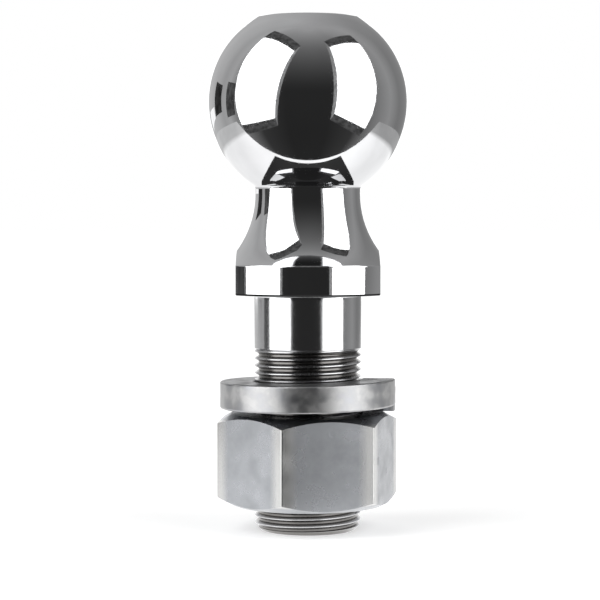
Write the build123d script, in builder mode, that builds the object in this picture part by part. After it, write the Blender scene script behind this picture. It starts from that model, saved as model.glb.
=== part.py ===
"""Trailer hitch ball: a forged ball with its threaded shank, a split lock washer and a hex nut.

Frame: millimetres, +Z up the ball's axis, origin at the middle of the flange's seat face.
The ball is above the origin and the shank hangs below it. The wrench flats face +X and -X.
"""

import os
from math import acos, cos, degrees, floor, pi, radians, sin, sqrt, tan

from build123d import *

INCH = 25.4

# --- Driving dimensions ----------------------------------------------------------------------

# Ball, neck and flange
ball_diameter = (2 + 5 / 16) * INCH
ball_centre_height = 56.45  # centre of the ball above the seat
top_flat_diameter = 31.0
neck_diameter = 31.2
flare_radius = 27.0  # hollow curve from the neck out to the flange's rim
flange_diameter = 2 * INCH
flange_height = 8.7
flats_apart = 1.65 * INCH  # wrench flats on two sides of the flange

# Shank
shank_diameter = 1.25 * INCH
shank_length = 2.75 * INCH
plain_length = 5 / 8 * INCH
tip_chamfer = 1.8

# Thread, 1-1/4 in by 12 to the inch
pitch = INCH / 12
flank_angle = 30.0
crest_radius = 15.70  # outside of the shank's thread
root_radius = 14.55  # bottom of the shank's groove
runout = 1.7  # height of the cone that the shank's groove runs out on
nut_crest_radius = 14.85  # inside of the nut's thread
nut_root_radius = 15.95  # bottom of the nut's groove
flank_gap = 0.10  # axial room on each side of a thread

# Hex nut
nut_across_flats = (1 + 7 / 8) * INCH
nut_height = (1 + 1 / 16) * INCH
nut_face_diameter = 45.2  # round face that the corner chamfer leaves
nut_chamfer_angle = 28.0  # degrees from the face
nut_countersink = 33.2  # diameter at the mouth of the thread
nut_turned = 14.0  # degrees that a corner stands off +X at rest

# Split lock washer
washer_bore = 1.275 * INCH
washer_width = 0.385 * INCH
washer_thickness = 5 / 16 * INCH
washer_rise = 2.4  # one end of the split stands this much above the other
washer_slot = 2.2  # gap between the ends
washer_split_at = -62.0  # degrees round from +X
washer_split_lean = 20.0  # degrees that the cut leans from upright

# Stack on the shank at rest
nut_bottom = -62.2
stack_gap = 0.12  # between the nut and the washer

# Edge breaks
top_rim_round = 2.5
ball_root_round = 1.2
flange_top_round = 0.6
flange_bottom_round = 0.6
flat_round = 0.4
shank_root_round = 0.8
nut_corner_round = 0.5
washer_edge_round = 0.6

# Cutting room
groove_past = 0.15  # a groove's section reaches this far past the wall it cuts
groove_overrun = pitch  # a groove's path runs on this far past each end
cutter_past = 1.0  # a turned cutter reaches this far outside the part
countersink_reach = 4.0  # the countersink's cutter ends this far inside the mouth
core_overlap = 0.4  # the turned head reaches this far into the thread's core
level_tolerance = 0.01

# --- Worked out from them --------------------------------------------------------------------

ball_radius = ball_diameter / 2
top_flat_radius = top_flat_diameter / 2
neck_radius = neck_diameter / 2
flange_radius = flange_diameter / 2
shank_radius = shank_diameter / 2
ball_top = ball_centre_height + sqrt(ball_radius**2 - top_flat_radius**2)
ball_root = ball_centre_height - sqrt(ball_radius**2 - neck_radius**2)
flare_turn = acos(1 - (flange_radius - neck_radius) / flare_radius)
waist_height = flange_height + flare_radius * sin(flare_turn)
thread_top = -plain_length - (shank_radius - crest_radius)
nut_top = nut_bottom + nut_height
washer_bottom = nut_top + stack_gap


def ridge_width(radius):
    """Axial width of the basic thread's ridge at this radius."""
    return pitch / 8 + 2 * (shank_radius - radius) * tan(radians(flank_angle))


def shank_groove_width(radius):
    """Axial width of the groove in the shank, with room for the nut's ridge."""
    return pitch - ridge_width(radius) + 2 * flank_gap


def section_plane(path):
    """The plane across a helix at its start, its origin on the thread's axis and x outwards."""
    start = path @ 0
    return Plane(origin=(0, 0, start.Z), x_dir=(start.X, start.Y, 0), z_dir=path % 0)


def groove_section(inner, outer, width_at):
    """Corners of a groove's section: x is the distance from the axis, y runs across the groove."""
    inner_half, outer_half = width_at(inner) / 2, width_at(outer) / 2
    return [(inner, -inner_half), (outer, -outer_half), (outer, outer_half), (inner, inner_half)]


def circles_at(shape, height):
    """The level round edges of a turned shape at one height, smallest first."""
    circles = shape.edges().filter_by(GeomType.CIRCLE)
    level = [
        edge
        for edge in circles
        if abs(edge.bounding_box().min.Z - height) < level_tolerance
        and edge.bounding_box().size.Z < level_tolerance
    ]
    return ShapeList(level).sort_by(SortBy.RADIUS)


# --- Hitch ball: ball, neck, flange and threaded shank, forged in one piece --------------------

groove_start = -shank_length - groove_overrun
groove_height = shank_length + thread_top + 2 * groove_overrun

with BuildPart() as hitch_ball:
    # Threaded end
    with BuildSketch(Plane.XY.offset(-shank_length)):
        Circle(crest_radius)
    extrude(amount=shank_length + thread_top)
    with BuildLine() as groove_path:
        Helix(pitch, groove_height, root_radius, center=(0, 0, groove_start))
    with BuildSketch(section_plane(groove_path.line)):
        Polygon(
            *groove_section(root_radius, crest_radius + groove_past, shank_groove_width),
            align=None,
        )
    sweep(path=groove_path.line, is_frenet=True, mode=Mode.SUBTRACT)
    with BuildSketch(Plane.XZ):
        Polygon(
            (crest_radius - tip_chamfer, -shank_length),
            (crest_radius + cutter_past, -shank_length + tip_chamfer + cutter_past),
            (crest_radius + cutter_past, -shank_length - cutter_past),
            (crest_radius - tip_chamfer, -shank_length - cutter_past),
            align=None,
        )
    revolve(axis=Axis.Z, mode=Mode.SUBTRACT)

    # Everything above the thread, down to the cone that the groove runs out on
    with BuildSketch(Plane.XZ):
        with BuildLine():
            Line((0, ball_top), (top_flat_radius, ball_top))
            ThreePointArc(
                (top_flat_radius, ball_top),
                (ball_radius, ball_centre_height),
                (neck_radius, ball_root),
            )
            Line((neck_radius, ball_root), (neck_radius, waist_height))
            JernArc((neck_radius, waist_height), (0, -1), flare_radius, degrees(flare_turn))
            Polyline(
                (flange_radius, flange_height),
                (flange_radius, 0),
                (shank_radius, 0),
                (shank_radius, -plain_length),
                (crest_radius, thread_top),
                (root_radius - core_overlap, thread_top - runout),
                (0, thread_top - runout),
                (0, ball_top),
            )
        make_face()
    revolve(axis=Axis.Z)
    fillet(circles_at(hitch_ball, ball_top)[-1], top_rim_round)
    fillet(circles_at(hitch_ball, ball_root)[-1], ball_root_round)
    fillet(circles_at(hitch_ball, flange_height)[-1], flange_top_round)
    fillet(circles_at(hitch_ball, 0)[-1], flange_bottom_round)
    fillet(circles_at(hitch_ball, 0)[0], shank_root_round)

    # Wrench flats
    with BuildSketch():
        with Locations((-flats_apart, 0), (flats_apart, 0)):
            Rectangle(flats_apart, flange_diameter)
    extrude(amount=waist_height, mode=Mode.SUBTRACT)
    flats = hitch_ball.faces().filter_by(Axis.X).sort_by(SortBy.AREA)[-2:]
    fillet(flats.edges(), flat_round)

hitch_ball.part.label = "hitch_ball"

# --- Hex nut ---------------------------------------------------------------------------------

# The nut's groove takes the shank's ridge, so it runs half a pitch off the shank's groove.
whole_turns = floor((nut_bottom - groove_start) / pitch)
nut_groove_start = groove_start + whole_turns * pitch - pitch / 2
nut_face_radius = nut_face_diameter / 2
nut_mouth_radius = nut_countersink / 2
nut_past = nut_across_flats
nut_chamfer_drop = (nut_past - nut_face_radius) * tan(radians(nut_chamfer_angle))

with BuildPart() as hex_nut:
    with BuildSketch(Plane.XY.offset(nut_bottom)) as nut_outline:
        RegularPolygon(nut_across_flats / 2, 6, major_radius=False, rotation=nut_turned)
        fillet(nut_outline.vertices(), nut_corner_round)
        Circle(nut_crest_radius, mode=Mode.SUBTRACT)
    extrude(amount=nut_height)
    with BuildLine() as nut_path:
        Helix(
            pitch,
            nut_height + 3 * groove_overrun,
            nut_root_radius,
            center=(0, 0, nut_groove_start),
        )
    with BuildSketch(section_plane(nut_path.line)):
        Polygon(
            *groove_section(nut_crest_radius - groove_past, nut_root_radius, ridge_width),
            align=None,
        )
    sweep(path=nut_path.line, is_frenet=True, mode=Mode.SUBTRACT)
    for face_height, out in ((nut_top, 1), (nut_bottom, -1)):
        with BuildSketch(Plane.XZ):
            Polygon(
                (nut_face_radius, face_height),
                (nut_past, face_height - out * nut_chamfer_drop),
                (nut_past, face_height + out * cutter_past),
                (nut_face_radius, face_height + out * cutter_past),
                align=None,
            )
            Polygon(
                (nut_mouth_radius - countersink_reach, face_height - out * countersink_reach),
                (nut_mouth_radius + cutter_past, face_height + out * cutter_past),
                (nut_mouth_radius - countersink_reach, face_height + out * cutter_past),
                align=None,
            )
        revolve(axis=Axis.Z, mode=Mode.SUBTRACT)

hex_nut.part.label = "hex_nut"

# --- Split lock washer -------------------------------------------------------------------------

washer_middle = (washer_bore + washer_width) / 2
washer_turn = 1 - washer_slot / (2 * pi * washer_middle)
washer_across_cut = washer_thickness / cos(radians(washer_split_lean))

with BuildPart() as lock_washer:
    with BuildLine(Plane.XY.rotated((0, 0, washer_split_at))) as coil:
        Helix(
            washer_rise / washer_turn,
            washer_rise,
            washer_middle,
            center=(0, 0, washer_bottom + washer_thickness / 2),
        )
    leaned = section_plane(coil.line).rotated((washer_split_lean, 0, 0))
    with BuildSketch(leaned):
        with Locations((washer_middle, 0)):
            RectangleRounded(washer_width, washer_across_cut, washer_edge_round)
    sweep(path=coil.line, is_frenet=True)

lock_washer.part.label = "lock_washer"

os.makedirs("parts", exist_ok=True)
export_step(hitch_ball.part, "parts/hitch_ball.step")
export_step(lock_washer.part, "parts/lock_washer.step")
export_step(hex_nut.part, "parts/hex_nut.step")
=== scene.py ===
"""Studio picture of a chromed trailer hitch ball, standing on its threaded shank.

Metres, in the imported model's frame. Azimuth 0 is -Y, towards the camera, and grows to the camera's
right, towards +X. Elevation 0 is level.
"""

from math import cos, pi, radians, sin, sqrt

import bpy
from mathutils import Matrix, Vector


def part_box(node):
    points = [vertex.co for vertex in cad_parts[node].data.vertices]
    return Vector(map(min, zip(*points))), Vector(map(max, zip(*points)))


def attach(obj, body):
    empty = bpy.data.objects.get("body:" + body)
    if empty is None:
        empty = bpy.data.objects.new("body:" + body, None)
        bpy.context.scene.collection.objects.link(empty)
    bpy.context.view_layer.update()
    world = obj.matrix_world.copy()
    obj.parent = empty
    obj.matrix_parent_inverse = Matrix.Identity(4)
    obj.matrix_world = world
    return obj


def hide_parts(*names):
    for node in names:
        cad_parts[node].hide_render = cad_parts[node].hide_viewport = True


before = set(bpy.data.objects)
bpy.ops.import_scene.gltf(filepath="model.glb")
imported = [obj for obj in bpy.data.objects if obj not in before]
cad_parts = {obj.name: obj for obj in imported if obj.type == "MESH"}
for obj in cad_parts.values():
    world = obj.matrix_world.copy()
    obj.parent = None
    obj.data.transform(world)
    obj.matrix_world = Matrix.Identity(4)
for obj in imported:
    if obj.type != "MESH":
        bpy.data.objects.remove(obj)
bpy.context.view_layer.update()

ball_low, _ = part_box("hitch_ball")
base = ball_low.z
MM = 0.001


def direction(azimuth, elevation):
    """The unit vector of an azimuth and elevation in degrees."""
    a, e = radians(azimuth), radians(elevation)
    return Vector((sin(a) * cos(e), -cos(a) * cos(e), sin(e)))


# --- Node helpers ------------------------------------------------------------------------------


def new_material(name, shader_kind="ShaderNodeBsdfPrincipled"):
    """A material with one shader, with its node tree and that shader."""
    material = bpy.data.materials.new(name)
    material.use_nodes = True
    tree = material.node_tree
    tree.nodes.clear()
    output = tree.nodes.new("ShaderNodeOutputMaterial")
    shader = tree.nodes.new(shader_kind)
    tree.links.new(shader.outputs[0], output.inputs[0])
    return material, tree, shader


def wire(tree, value, socket):
    """Link an output to a socket, or set the socket to a plain value."""
    if isinstance(value, bpy.types.NodeSocket):
        tree.links.new(value, socket)
    else:
        socket.default_value = value


def calculate(tree, operation, *values):
    """The result of a math node on one or two values."""
    node = tree.nodes.new("ShaderNodeMath")
    node.operation = operation
    for value, socket in zip(values, node.inputs):
        wire(tree, value, socket)
    return node.outputs[0]


def plus(tree, first, second):
    return calculate(tree, "ADD", first, second)


def times(tree, first, second):
    return calculate(tree, "MULTIPLY", first, second)


def span(tree, value, low, high, to_low=0.0, to_high=1.0):
    """The value carried from the range low..high to the range to_low..to_high, and clamped."""
    node = tree.nodes.new("ShaderNodeMapRange")
    for number, socket in zip((value, low, high, to_low, to_high), node.inputs):
        wire(tree, number, socket)
    return node.outputs[0]


def noise(tree, place, scale, detail=2.0, stretch=None):
    """Noise between 0 and 1 over a place in metres, with features 1/scale across."""
    if stretch:
        mapping = tree.nodes.new("ShaderNodeMapping")
        mapping.inputs["Scale"].default_value = stretch
        tree.links.new(place, mapping.inputs[0])
        place = mapping.outputs[0]
    node = tree.nodes.new("ShaderNodeTexNoise")
    node.inputs["Scale"].default_value = scale
    node.inputs["Detail"].default_value = detail
    tree.links.new(place, node.inputs["Vector"])
    return node.outputs["Fac"]


def ramp(tree, value, stops):
    """A grey ramp through stops of (position, brightness)."""
    node = tree.nodes.new("ShaderNodeValToRGB")
    tree.links.new(value, node.inputs[0])
    elements = node.color_ramp.elements
    while len(elements) < len(stops):
        elements.new(0.5)
    for element, (position, grey) in zip(elements, stops):
        element.position = position
        element.color = (grey, grey, grey, 1)
    return node.outputs[0]


def blend(tree, factor, first, second):
    """One colour mixed into another."""
    node = tree.nodes.new("ShaderNodeMix")
    node.data_type = "RGBA"
    wire(tree, factor, node.inputs[0])
    wire(tree, first, node.inputs[6])
    wire(tree, second, node.inputs[7])
    return node.outputs[2]


def bump(tree, height, distance, normal=None):
    """A bump of this distance in metres where the height value is 1."""
    node = tree.nodes.new("ShaderNodeBump")
    node.inputs["Strength"].default_value = 1
    node.inputs["Distance"].default_value = distance
    tree.links.new(height, node.inputs["Height"])
    if normal:
        tree.links.new(normal, node.inputs["Normal"])
    return node.outputs[0]


def parts_of(tree, vector):
    """The x, y and z of a vector."""
    split = tree.nodes.new("ShaderNodeSeparateXYZ")
    tree.links.new(vector, split.inputs[0])
    return split.outputs


def object_point(tree):
    """The surface point, in metres."""
    return tree.nodes.new("ShaderNodeTexCoord").outputs["Object"]


def from_axis(tree, x, y):
    """The distance of a point from the ball's axis."""
    return calculate(tree, "SQRT", plus(tree, times(tree, x, x), times(tree, y, y)))


def object_place(tree):
    """The surface point, its distance from the ball's axis and its height."""
    place = object_point(tree)
    x, y, z = parts_of(tree, place)
    return place, from_axis(tree, x, y), z


def facing_up(tree):
    """How far the surface faces straight up or down, from 0 to 1."""
    normal = tree.nodes.new("ShaderNodeTexCoord").outputs["Normal"]
    return calculate(tree, "ABSOLUTE", parts_of(tree, normal)[2])


def scratches(tree, place, scale, share):
    """Fine crossing hairlines: 1 on a scratch and 0 elsewhere."""
    lines = []
    for stretch in ((1.0, 14.0, 3.0), (12.0, 1.0, 5.0)):
        grain = noise(tree, place, scale, detail=1.0, stretch=stretch)
        from_middle = calculate(tree, "ABSOLUTE", calculate(tree, "SUBTRACT", grain, 0.5))
        lines.append(span(tree, from_middle, 0.0, share, 1.0, 0.0))
    return calculate(tree, "MAXIMUM", *lines)


# --- Materials ---------------------------------------------------------------------------------


def chrome():
    """Mirror chrome on the ball and neck, duller on the plain shank and satin on the thread, with painted
    shade in the thread's valleys.
    """
    clean, smudged = (0.66, 0.665, 0.675, 1), (0.61, 0.61, 0.62, 1)
    # The last colour is painted shade for the thread's valleys.
    satin, valley_painted_shade = (0.50, 0.50, 0.51, 1), (0.16, 0.155, 0.15, 1)
    shank_start = (-1.0 * MM, -1.6 * MM)  # heights that the plating changes between
    thread_start = (-15.4 * MM, -16.6 * MM)
    valley_radii = (15.55 * MM, 14.75 * MM)
    film_roughness = (0.012, 0.05)
    hairline_roughness, speckle_roughness = 0.07, 0.10
    shank_roughness, thread_roughness = 0.10, 0.12
    wave_height, peel_height, hairline_height = 14e-6, 3.2e-6, 0.6e-6

    material, tree, shader = new_material("chrome")
    place, radius, height = object_place(tree)
    hairlines = scratches(tree, place, scale=90.0, share=0.004)
    film = span(tree, noise(tree, place, scale=45.0, detail=3.0), 0.42, 0.68)
    speckle = span(tree, noise(tree, place, scale=900.0), 0.70, 0.78)
    shank = span(tree, height, *shank_start)
    thread = span(tree, height, *thread_start)
    # Painted shade: the thread's colour darkens towards the floor of its valleys.
    shaded_valleys = times(tree, thread, span(tree, radius, *valley_radii))

    bright = blend(tree, film, clean, smudged)
    plated = blend(tree, thread, bright, satin)
    wire(tree, blend(tree, shaded_valleys, plated, valley_painted_shade), shader.inputs["Base Color"])

    polish = plus(tree, span(tree, film, 0, 1, *film_roughness), times(tree, hairlines, hairline_roughness))
    dull = plus(tree, times(tree, shank, shank_roughness), times(tree, thread, thread_roughness))
    rough = plus(tree, plus(tree, polish, dull), times(tree, speckle, speckle_roughness))
    wire(tree, rough, shader.inputs["Roughness"])

    waves = bump(tree, noise(tree, place, scale=90.0, detail=1.0), wave_height)
    peel = bump(tree, noise(tree, place, scale=420.0), peel_height, waves)
    wire(tree, bump(tree, hairlines, hairline_height, peel), shader.inputs["Normal"])
    shader.inputs["Metallic"].default_value = 1
    return material


def nut_zinc():
    """Dull zinc on a forged nut, with turned faces, rubbed corners and painted shade in the bore."""
    fresh, aged = (0.37, 0.38, 0.40, 1), (0.285, 0.295, 0.31, 1)
    # The last colour is painted shade for the bore.
    bare, bore_painted_shade = (0.49, 0.49, 0.485, 1), (0.14, 0.135, 0.13, 1)
    corner_radii = (25.4 * MM, 26.6 * MM)
    bore_radii = (16.6 * MM, 15.6 * MM)
    ring_pace, ring_wander = 9000.0, 3.0  # radians per metre outwards, and radians astray
    zinc_roughness = (0.24, 0.34)
    corner_polish, nick_roughness = 0.08, 0.12
    grain_height, mark_height, nick_height = 3e-6, 2e-6, -12e-6

    material, tree, shader = new_material("nut_zinc")
    place, radius, _ = object_place(tree)
    mottle = noise(tree, place, scale=160.0, detail=4.0)
    drift = times(tree, noise(tree, place, scale=60.0), ring_wander)
    rings = calculate(tree, "SINE", plus(tree, times(tree, radius, ring_pace), drift))
    drawn = noise(tree, place, scale=520.0, detail=1.0, stretch=(1.0, 1.0, 0.03))
    nicks = span(tree, noise(tree, place, scale=230.0, detail=1.0), 0.71, 0.76)
    corner = span(tree, radius, *corner_radii)
    # Painted shade: darker inside the bore.
    shaded_bore = span(tree, radius, *bore_radii)

    zinc = blend(tree, span(tree, mottle, 0.35, 0.70), fresh, aged)
    rubbed = blend(tree, corner, zinc, bare)
    wire(tree, blend(tree, shaded_bore, rubbed, bore_painted_shade), shader.inputs["Base Color"])

    rough = span(tree, mottle, 0.30, 0.75, *zinc_roughness)
    rough = calculate(tree, "SUBTRACT", rough, times(tree, corner, corner_polish))
    wire(tree, plus(tree, rough, times(tree, nicks, nick_roughness)), shader.inputs["Roughness"])

    grain = bump(tree, noise(tree, place, scale=240.0), grain_height)
    level = span(tree, facing_up(tree), 0.5, 0.8)
    marks = bump(tree, blend(tree, level, drawn, rings), mark_height, grain)
    wire(tree, bump(tree, nicks, nick_height, marks), shader.inputs["Normal"])
    shader.inputs["Metallic"].default_value = 1
    return material


def washer_steel():
    """Darker spring steel with a rolled grain along the coil and rubbed edges."""
    fresh, aged, bare = (0.34, 0.345, 0.36, 1), (0.20, 0.20, 0.205, 1), (0.46, 0.46, 0.46, 1)
    inner_radii = (17.4 * MM, 16.6 * MM)
    outer_radii = (25.3 * MM, 25.9 * MM)
    steel_roughness = (0.30, 0.50)
    grain_height, rolled_height = 8e-6, 14e-6

    material, tree, shader = new_material("washer_steel")
    place, radius, _ = object_place(tree)
    mottle = noise(tree, place, scale=220.0, detail=5.0)
    rolled = noise(tree, place, scale=120.0, detail=3.0, stretch=(1.0, 1.0, 16.0))
    edges = calculate(tree, "MAXIMUM", span(tree, radius, *inner_radii), span(tree, radius, *outer_radii))
    rubbed = times(tree, edges, span(tree, mottle, 0.35, 0.6))

    steel = blend(tree, span(tree, mottle, 0.35, 0.68), fresh, aged)
    wire(tree, blend(tree, rubbed, steel, bare), shader.inputs["Base Color"])
    wire(tree, span(tree, mottle, 0.3, 0.75, *steel_roughness), shader.inputs["Roughness"])
    grain = bump(tree, noise(tree, place, scale=300.0), grain_height)
    wire(tree, bump(tree, rolled, rolled_height, grain), shader.inputs["Normal"])
    shader.inputs["Metallic"].default_value = 1
    return material


def assign(node, material):
    """Give a CAD node one material."""
    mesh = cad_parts[node].data
    mesh.materials.clear()
    mesh.materials.append(material)


seam_width = 0.02 * MM  # the mended strip reaches this far either side of the seam
thread_top = -15.8 * MM


def chromed_ball(material):
    """The hitch ball with the shading mended along the seam of its turned faces.

    The turned faces start and end at y = 0 on the +X side. A turned face's normal has no y there,
    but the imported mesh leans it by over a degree, which would kink every mirrored edge.
    """
    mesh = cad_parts["hitch_ball"].data.copy()
    mesh.name = "chromed_ball"
    mesh.materials.clear()
    mesh.materials.append(material)
    normals = [corner.vector.copy() for corner in mesh.corner_normals]
    for loop, normal in zip(mesh.loops, normals):
        x, y, z = mesh.vertices[loop.vertex_index].co
        if x > 0 and abs(y) < seam_width and z > thread_top:
            normal.y = 0
            normal.normalize()
    mesh.normals_split_custom_set(normals)
    piece = bpy.data.objects.new("chromed_ball", mesh)
    bpy.context.scene.collection.objects.link(piece)
    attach(piece, "ball")
    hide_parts("hitch_ball")


chromed_ball(chrome())
assign("lock_washer", washer_steel())
assign("hex_nut", nut_zinc())


# --- Camera ------------------------------------------------------------------------------------

view_distance = 0.600
view_height = 0.025  # above the flange's seat, near the top of the flare
picture_width = 0.1775  # at the ball
picture_middle = -0.0019  # height at the picture's middle
to_the_right = 0.0023  # the ball stands this far right of the middle
sensor_width = 36  # millimetres
nearest_shown = 0.01

camera_data = bpy.data.cameras.new("camera")
camera_data.sensor_width = sensor_width
camera_data.lens = sensor_width * view_distance / picture_width
camera_data.clip_start = nearest_shown
camera = bpy.data.objects.new("camera", camera_data)
bpy.context.scene.collection.objects.link(camera)
aim = Vector((-to_the_right, 0, picture_middle))
camera.location = (-to_the_right, -view_distance, view_height)
camera.rotation_euler = (aim - camera.location).to_track_quat("-Z", "Y").to_euler()
bpy.context.scene.camera = camera


# --- Floor and table -----------------------------------------------------------------------------

floor_reach = 8.0
floor_tones = ((0.84, 0.84, 0.84, 1), (0.88, 0.88, 0.88, 1))
floor_fade = (0.25, 0.7)  # the floor stops taking light between these distances from the axis
floor_roughness = 0.7
floor_glow = (0.12, 0.7)  # the near glow turns into the far one between these distances
floor_near_glow = 0.35
floor_far_white = 1.1  # the far floor's glow behind the object
backdrop_turn = (0.3, 0.85)  # cosine from straight behind, where grey turns to white
backdrop_grey = 0.82  # everywhere but behind the object
table_front = 0.058  # the table that the chrome mirrors ends this far in front of the axis
table_curve = 1.50  # radius of its front edge
table_side = 0.47
table_back = 1.6
table_steps = 24
table_mottle = (0.95, 1.05)
table_mottle_scale = 5.0
card_mottle_scale = 9.0
table_white = (1.5, 1.22)  # brightness in front of the axis and behind it
table_white_turn = (-0.03, 0.05)  # y that it changes between
table_beam = (0.24, 0.28)  # the table turns from white to grey between these distances sideways
table_grey_left = 0.57  # beside the beam, as a share of the white
table_grey_right = 0.39


def pale_floor():
    """Matt white with a little glow by the object. Far off, only a glow that matches the backdrop."""
    material, tree, shader = new_material("pale_floor")
    place = object_point(tree)
    x, y, _ = parts_of(tree, place)
    radius = from_axis(tree, x, y)
    from_behind = calculate(tree, "DIVIDE", y, radius)
    far_glow = span(tree, from_behind, *backdrop_turn, backdrop_grey, floor_far_white)
    tone = blend(tree, noise(tree, place, scale=14.0, detail=3.0), *floor_tones)
    tone = blend(tree, span(tree, radius, *floor_fade), tone, (0, 0, 0, 1))
    wire(tree, tone, shader.inputs["Base Color"])
    shader.inputs["Roughness"].default_value = floor_roughness
    shader.inputs["Specular IOR Level"].default_value = 0
    shader.inputs["Emission Color"].default_value = (1, 1, 1, 1)
    glow = span(tree, radius, *floor_glow, floor_near_glow, far_glow)
    wire(tree, glow, shader.inputs["Emission Strength"])
    return material


def mottled(tree, place, scale, low, high):
    """A brightness mottled between two values."""
    return span(tree, noise(tree, place, scale, detail=3.0), 0.35, 0.65, low, high)


def glowing(name, low, high):
    """A card's glow, mottled between two brightnesses."""
    material, tree, shader = new_material(name, "ShaderNodeEmission")
    glow = mottled(tree, object_point(tree), card_mottle_scale, low, high)
    wire(tree, glow, shader.inputs["Strength"])
    return material


def lit_table():
    """The table's top as the chrome mirrors it: whitest in front and greyer outside the lights' beam."""
    material, tree, shader = new_material("table_white", "ShaderNodeEmission")
    place = object_point(tree)
    x, y, _ = parts_of(tree, place)
    near, far = table_beam
    left = span(tree, x, -far, -near, table_grey_left, 1.0)
    right = span(tree, x, near, far, 1.0, table_grey_right)
    white = span(tree, y, *table_white_turn, *table_white)
    glow = times(tree, times(tree, left, right), white)
    mottle = mottled(tree, place, table_mottle_scale, *table_mottle)
    wire(tree, times(tree, mottle, glow), shader.inputs["Strength"])
    return material


def stage_mesh(name, corners, faces, material):
    """A piece of the studio."""
    mesh = bpy.data.meshes.new(name)
    mesh.from_pydata(corners, [], faces)
    mesh.materials.append(material)
    piece = bpy.data.objects.new(name, mesh)
    bpy.context.scene.collection.objects.link(piece)
    return piece


def level_sheet(name, outline, height, material):
    """A flat sheet with corners at (x, y) points."""
    corners = [(x, y, height) for x, y in outline]
    return stage_mesh(name, corners, [list(range(len(corners)))], material)


def mirrored_only(piece):
    """Make a piece of the studio show in reflections and nowhere else."""
    piece.visible_camera = False
    piece.visible_diffuse = False
    piece.visible_shadow = False


floor_outline = [
    (-floor_reach, -floor_reach),
    (floor_reach, -floor_reach),
    (floor_reach, floor_reach),
    (-floor_reach, floor_reach),
]
floor = level_sheet("floor", floor_outline, base, pale_floor())
floor.visible_glossy = False

front_edge = []
for step in range(table_steps + 1):
    right = table_side * (2 * step / table_steps - 1)
    sag = table_curve - sqrt(table_curve**2 - right**2)
    front_edge.append((right, -table_front + sag))
table_outline = front_edge + [(table_side, table_back), (-table_side, table_back)]
mirrored_only(level_sheet("table", table_outline, base, lit_table()))


# --- Softboxes and cards -----------------------------------------------------------------------

ball_centre = Vector((0, 0, 56.45 * MM))
lip_depth = 0.27  # the softboxes' lips reach this far forward
lip_cloth = glowing("lip_cloth", 0.05, 0.13)
lip_edge = glowing("lip_edge", 0.25, 0.42)
dark_cloth = glowing("dark_cloth", 0.02, 0.05)


def softbox(name, centre, facing, width, height, roll, rim, power):
    """A soft rectangle of light with lips round it.

    centre is from the ball's centre, and facing is the azimuth and elevation that its light comes from.
    rim says how far the lips' front edge stands outside the light: left, right, bottom, top.
    """
    data = bpy.data.lights.new(name, "AREA")
    data.shape = "RECTANGLE"
    data.size = width
    data.size_y = height
    data.energy = power
    lamp = bpy.data.objects.new(name, data)
    bpy.context.scene.collection.objects.link(lamp)
    upright = (-direction(*facing)).to_track_quat("-Z", "Y").to_matrix()
    turned = upright @ Matrix.Rotation(radians(roll), 3, "Z")
    lamp.location = ball_centre + Vector(centre)
    lamp.rotation_euler = turned.to_euler()

    x, y = width / 2, height / 2
    left, right, bottom, top = rim
    face = [(-x, -y, 0), (x, -y, 0), (x, y, 0), (-x, y, 0)]
    front = [
        (-x - left, -y - bottom, -lip_depth),
        (x + right, -y - bottom, -lip_depth),
        (x + right, y + top, -lip_depth),
        (-x - left, y + top, -lip_depth),
    ]
    places = [lamp.location + turned @ Vector(corner) for corner in face + front]
    level_lips = [(0, 1, 5, 4), (2, 3, 7, 6)]
    upright_lips = [(1, 2, 6, 5), (3, 0, 4, 7)]
    mirrored_only(stage_mesh(f"{name}_lips", places, level_lips, lip_cloth))
    mirrored_only(stage_mesh(f"{name}_edges", places, upright_lips, lip_edge))


softbox(
    "softbox_left",
    centre=(-0.825, -0.419, 0.389),
    facing=(-63, 18),
    width=1.06,
    height=1.76,
    roll=0,
    rim=(-0.143, -0.083, 0.0, 0.0),
    power=15,
)
softbox(
    "softbox_right",
    centre=(0.829, -0.447, 0.416),
    facing=(62, 10),
    width=0.94,
    height=1.75,
    roll=-12,
    rim=(-0.07, -0.127, 0.0, 0.0),
    power=13.4,
)


def upright_card(name, azimuth, distance, width, low, high, material):
    """A card that stands across the view from the axis, between two heights."""
    away = direction(azimuth, 0)
    across = Vector((-away.y, away.x, 0)) * width / 2
    middle = away * distance
    corners = [middle - across, middle + across, middle + across, middle - across]
    places = [corner + Vector((0, 0, height)) for corner, height in zip(corners, (low, low, high, high))]
    mirrored_only(stage_mesh(name, places, [(0, 1, 2, 3)], material))


backdrop_white = glowing("backdrop_white", 1.3, 1.5)
dim_white = glowing("backdrop_low", 1.2, 1.4)
upright_card("backdrop", azimuth=180, distance=1.55, width=1.0, low=base, high=0.75, material=backdrop_white)
upright_card("stand_near", azimuth=-100, distance=1.3, width=0.34, low=-0.16, high=0.40, material=lip_cloth)
upright_card("stand_far", azimuth=-126, distance=1.5, width=0.46, low=-0.06, high=0.36, material=dark_cloth)
upright_card("backdrop_left", azimuth=-146, distance=1.5, width=0.5, low=base, high=0.06, material=dim_white)

# The dark top of the block that the ball stands in
block_side = 0.034
block_front = 0.032
block_back = 0.075
block_height = -0.4 * MM
block_outline = [
    (-block_side, -block_front),
    (block_side, -block_front),
    (block_side, block_back),
    (-block_side, block_back),
]
mirrored_only(level_sheet("block_top", block_outline, block_height, dark_cloth))


# --- World ---------------------------------------------------------------------------------------

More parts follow.
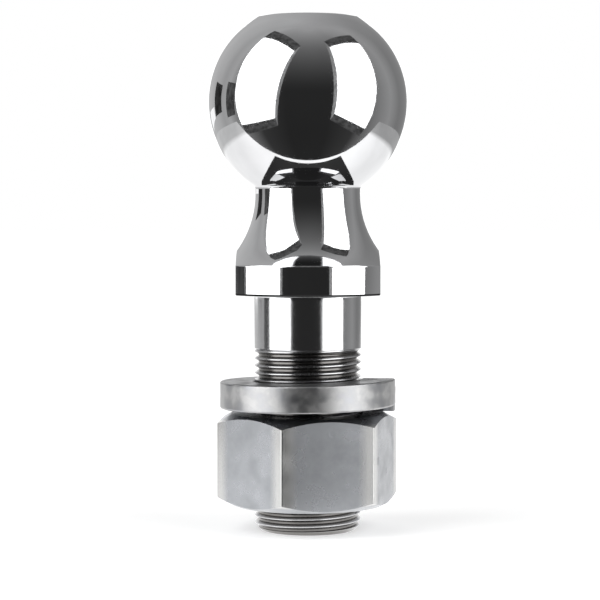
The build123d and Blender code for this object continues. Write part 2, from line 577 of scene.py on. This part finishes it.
# The mirrored room's walls: azimuth and brightness
walls = [
    (-180, 0.45),
    (-150, 0.62),
    (-128, 0.56),
    (-116, 0.46),
    (-104, 0.52),
    (-92, 0.30),
    (-60, 0.05),
    (-25, 0.027),
    (25, 0.027),
    (60, 0.05),
    (84, 0.25),
    (96, 0.31),
    (110, 0.38),
    (130, 0.25),
    (150, 0.28),
    (180, 0.45),
]
ceiling_tones = (0.34, 0.52)  # on the camera's side and behind the object
ceiling_turn = (-0.5, 0.2)  # y of the direction that it changes between
wall_top, ceiling_full = 8, 86  # elevations that the wall turns into the ceiling between
ceiling_curve = 1.7  # how slowly it starts to


def studio_world():
    """To the camera, white behind the object and pale grey elsewhere. In mirrors, a dim room."""
    world = bpy.data.worlds.new("studio")
    bpy.context.scene.world = world
    world.use_nodes = True
    tree = world.node_tree
    tree.nodes.clear()
    x, y, z = parts_of(tree, tree.nodes.new("ShaderNodeTexCoord").outputs["Generated"])

    around = calculate(tree, "ARCTAN2", x, times(tree, y, -1.0))
    stops = [((azimuth + 180) / 360, grey) for azimuth, grey in walls]
    wall_light = ramp(tree, span(tree, around, -pi, pi), stops)
    elevation = calculate(tree, "ARCSINE", z)
    overhead = span(tree, elevation, radians(wall_top), radians(ceiling_full))
    overhead = calculate(tree, "POWER", overhead, ceiling_curve)
    ceiling = span(tree, y, *ceiling_turn, *ceiling_tones)
    room_light = blend(tree, overhead, wall_light, ceiling)

    seen = tree.nodes.new("ShaderNodeBackground")
    seen.inputs["Color"].default_value = (1, 1, 1, 1)
    wire(tree, span(tree, y, *backdrop_turn, backdrop_grey, 1.0), seen.inputs["Strength"])
    room = tree.nodes.new("ShaderNodeBackground")
    tree.links.new(room_light, room.inputs["Color"])
    mix = tree.nodes.new("ShaderNodeMixShader")
    output = tree.nodes.new("ShaderNodeOutputWorld")
    path = tree.nodes.new("ShaderNodeLightPath")
    tree.links.new(path.outputs["Is Camera Ray"], mix.inputs[0])
    tree.links.new(room.outputs[0], mix.inputs[1])
    tree.links.new(seen.outputs[0], mix.inputs[2])
    tree.links.new(mix.outputs[0], output.inputs[0])


studio_world()
bpy.context.scene.view_settings.view_transform = "Standard"
